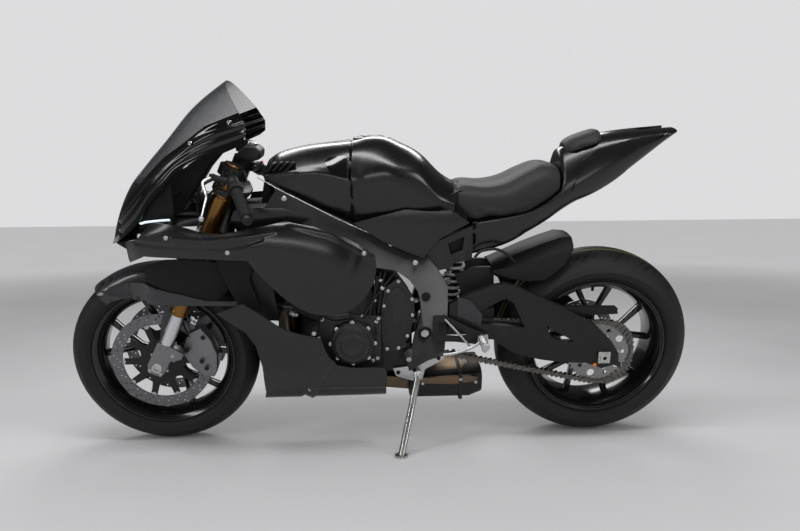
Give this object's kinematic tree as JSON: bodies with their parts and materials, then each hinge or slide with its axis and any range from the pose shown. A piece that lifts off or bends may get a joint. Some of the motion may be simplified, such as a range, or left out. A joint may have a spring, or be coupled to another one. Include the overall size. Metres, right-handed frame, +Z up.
{
  "type": "sport motorcycle",
  "caption": "Black super-sport motorcycle with full fairing, gold upside-down fork, forked-spoke wheels and chain drive, leaning on its side stand.",
  "frame": {"origin": "on the floor under the middle of the leaning motorcycle's bounding box", "axes": "+X forward from the rear to the front axle, +Y to the rider's left, towards the side stand, +Z up"},
  "size_m": [2.02, 0.6724, 1.1469],
  "materials": {
    "tyre": "slick rubber",
    "black_wheel": "gloss black",
    "disc_steel": "drilled brake steel",
    "dark_steel": "grey sprocket steel",
    "gold_tube": "gold anodised",
    "chrome_tube": "polished",
    "cast_grey": "cast grey",
    "silver_alloy": "machined",
    "black_alloy": "satin black",
    "grip_rubber": "matte",
    "satin_black": "satin black",
    "gloss_black": "gloss black",
    "silver_steel": "plated",
    "frame_grey": "matte dark grey",
    "engine_grey": "satin dark grey",
    "chain_steel": "oiled chain steel",
    "black_plastic": "matte black",
    "smoke_screen": "smoke-grey transparent",
    "seat_cover": "textured dark grey cover",
    "pipe_steel": "heat-tinted steel",
    "black_steel": "matte black"
  },
  "bodies": {
    "chassis": {"belly_pan": "satin_black", "drive_chain": "chain_steel", "engine_block": "engine_grey", "engine_covers": "engine_grey", "exhaust_headers": "pipe_steel", "fairing_stays": "black_alloy", "footrests": "silver_alloy", "frame": "frame_grey", "fuel_cap": "silver_alloy", "fuel_tank": "satin_black", "muffler": "black_steel", "nose_panel": "gloss_black", "pivot_shaft": "silver_steel", "radiator": "black_alloy", "rear_axle": "silver_steel", "rear_caliper": "cast_grey", "rear_guards": "black_plastic", "rear_shock": "silver_steel", "rider_seat": "seat_cover", "side_covers": "satin_black", "side_fairings": "satin_black", "stand_bracket": "silver_alloy", "swingarm": "black_alloy", "tail_cowl": "satin_black", "tank_front_cover": "satin_black", "upper_cowl": "gloss_black", "windscreen": "smoke_screen"},
    "steering": {"fork_outer_tubes": "gold_tube", "fork_sliders": "chrome_tube", "fork_feet": "cast_grey", "front_axle": "silver_alloy", "triple_clamps": "black_alloy", "handlebars": "black_alloy", "grips": "grip_rubber", "hand_levers": "silver_alloy", "front_calipers": "silver_alloy", "front_fender": "satin_black"},
    "front_wheel": {"front_tyre": "tyre", "front_rim": "black_wheel", "front_brake_discs": "disc_steel"},
    "rear_wheel": {"rear_tyre": "tyre", "rear_rim": "black_wheel", "rear_brake_disc": "disc_steel", "rear_sprocket": "dark_steel"},
    "side_stand": {"stand_leg": "silver_steel"}
  },
  "joints": [
    {"name": "steering_head", "type": "hinge", "parent": "chassis", "child": "steering", "pos_m": [0.61078, -0.07076, 0.44937], "axis": [-0.4063, 0.1781, 0.8962], "range_deg": [-27, 27]},
    {"name": "front_wheel_spin", "type": "hinge", "parent": "steering", "child": "front_wheel", "pos_m": [0.71207, -0.10132, 0.29555], "axis": [-0.0001, 0.9808, -0.1949], "continuous": true},
    {"name": "rear_wheel_spin", "type": "hinge", "parent": "chassis", "child": "rear_wheel", "pos_m": [-0.69292, -0.09735, 0.31631], "axis": [-0.0001, 0.9808, -0.1949], "continuous": true},
    {"name": "side_stand_swing", "type": "hinge", "parent": "chassis", "child": "side_stand", "pos_m": [-0.10496, 0.00015, 0.23198], "axis": [0.0001, 0.9908, 0.135], "range_deg": [0, 100]}
  ]
}
